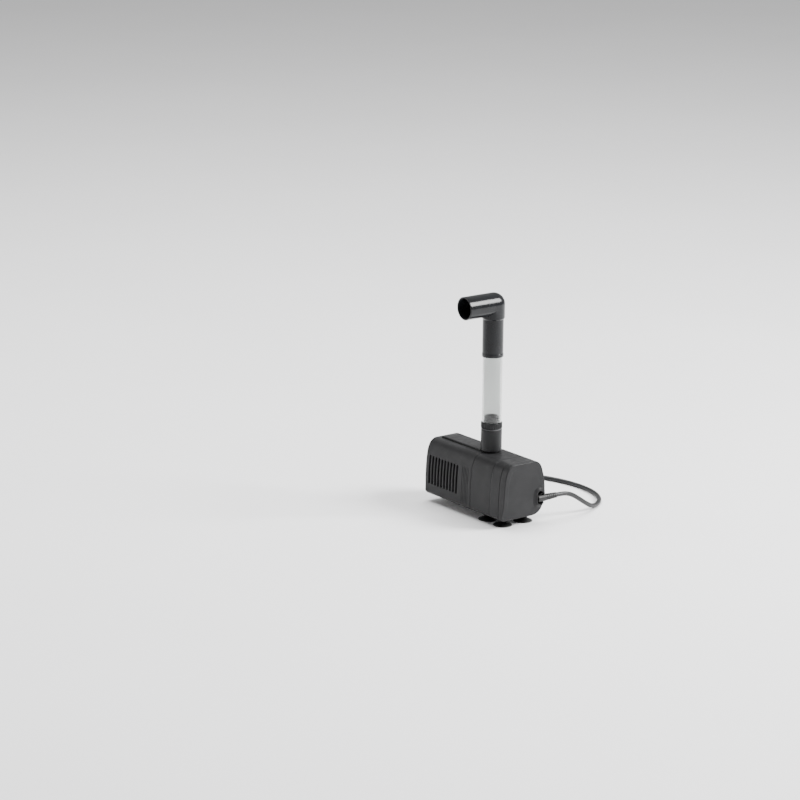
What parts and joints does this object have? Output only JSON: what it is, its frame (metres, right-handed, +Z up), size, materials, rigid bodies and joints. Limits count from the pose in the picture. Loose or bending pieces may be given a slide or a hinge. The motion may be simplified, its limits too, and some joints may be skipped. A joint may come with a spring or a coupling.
{
  "type": "internal power filter",
  "caption": "Small submersible aquarium filter: motor head on suction cups, slotted foam case, and a clear riser pipe to a swivelling outlet elbow.",
  "frame": {"origin": "middle of the filter's footprint, without its cord, on the surface that the suction cups stand on", "axes": "+X across the filter towards the cord's side, -X the way the spout points, +Y along the rotor axis from the cable end to the intake end, +Z up along the riser pipe"},
  "size_m": [0.1712, 0.1741, 0.2295],
  "materials": {
    "body_plastic": "satin moulded black-grey ABS",
    "case_plastic": "satin moulded black-grey ABS",
    "inner_plastic": "plain moulded grey",
    "gloss_black": "glossy black PVC",
    "clear_acrylic": "clear acrylic tube",
    "rubber": "soft black rubber",
    "seal_rubber": "grey silicone",
    "cord_pvc": "satin black PVC sheath",
    "tie_fabric": "woven hook-and-loop strap",
    "core_steel": "stacked laminations",
    "copper": "enamelled copper winding",
    "bobbin_nylon": "natural nylon",
    "ceramic": "polished ceramic",
    "ferrite": "moulded ferrite",
    "resin": "black potting resin",
    "foam": "open-cell reticulated foam",
    "nickel": "nickel-plated brass"
  },
  "bodies": {
    "pump": {"motor_housing": "body_plastic", "end_cap": "body_plastic", "potting_resin": "resin", "stator_core": "core_steel", "coil_bobbin": "bobbin_nylon", "stator_coil": "copper", "rotor_shaft": "ceramic", "rear_bush": "rubber", "front_bush": "rubber", "head_seal": "rubber", "pump_head": "body_plastic", "impeller_cover": "inner_plastic", "collar_washer": "seal_rubber", "strain_relief": "rubber", "power_cord": "cord_pvc", "cord_coil": "cord_pvc", "cord_tail": "cord_pvc", "cord_tie": "tie_fabric", "plug_body": "cord_pvc", "plug_pin_1": "nickel", "plug_pin_2": "nickel", "suction_cup_1": "rubber", "suction_cup_2": "rubber", "suction_cup_3": "rubber", "suction_cup_4": "rubber"},
    "rotor": {"rotor_magnet": "ferrite", "impeller": "inner_plastic"},
    "dial": {"flow_dial": "inner_plastic"},
    "case": {"filter_case": "case_plastic", "foam_cartridge": "foam"},
    "riser": {"riser_adapter": "body_plastic", "riser_tube": "clear_acrylic"},
    "spout": {"outlet_elbow": "gloss_black"}
  },
  "joints": [
    {"name": "rotor_spin", "type": "hinge", "parent": "pump", "child": "rotor", "pos_m": [0.0052, -0.01995, 0.042], "axis": [0, 1, 0], "continuous": true},
    {"name": "dial_turn", "type": "hinge", "parent": "pump", "child": "dial", "pos_m": [0.0052, 0.00505, 0.042], "axis": [0, 1, 0], "range_deg": [0, 90]},
    {"name": "case_slide", "type": "slide", "parent": "pump", "child": "case", "axis": [0, 1, 0], "range_m": [0, 0.04]},
    {"name": "riser_lift", "type": "slide", "parent": "pump", "child": "riser", "axis": [0, 0, 1], "range_m": [0, 0.012]},
    {"name": "elbow_swivel", "type": "hinge", "parent": "riser", "child": "spout", "pos_m": [0.0052, -0.00995, 0.18], "axis": [0, 0, 1], "continuous": true}
  ]
}
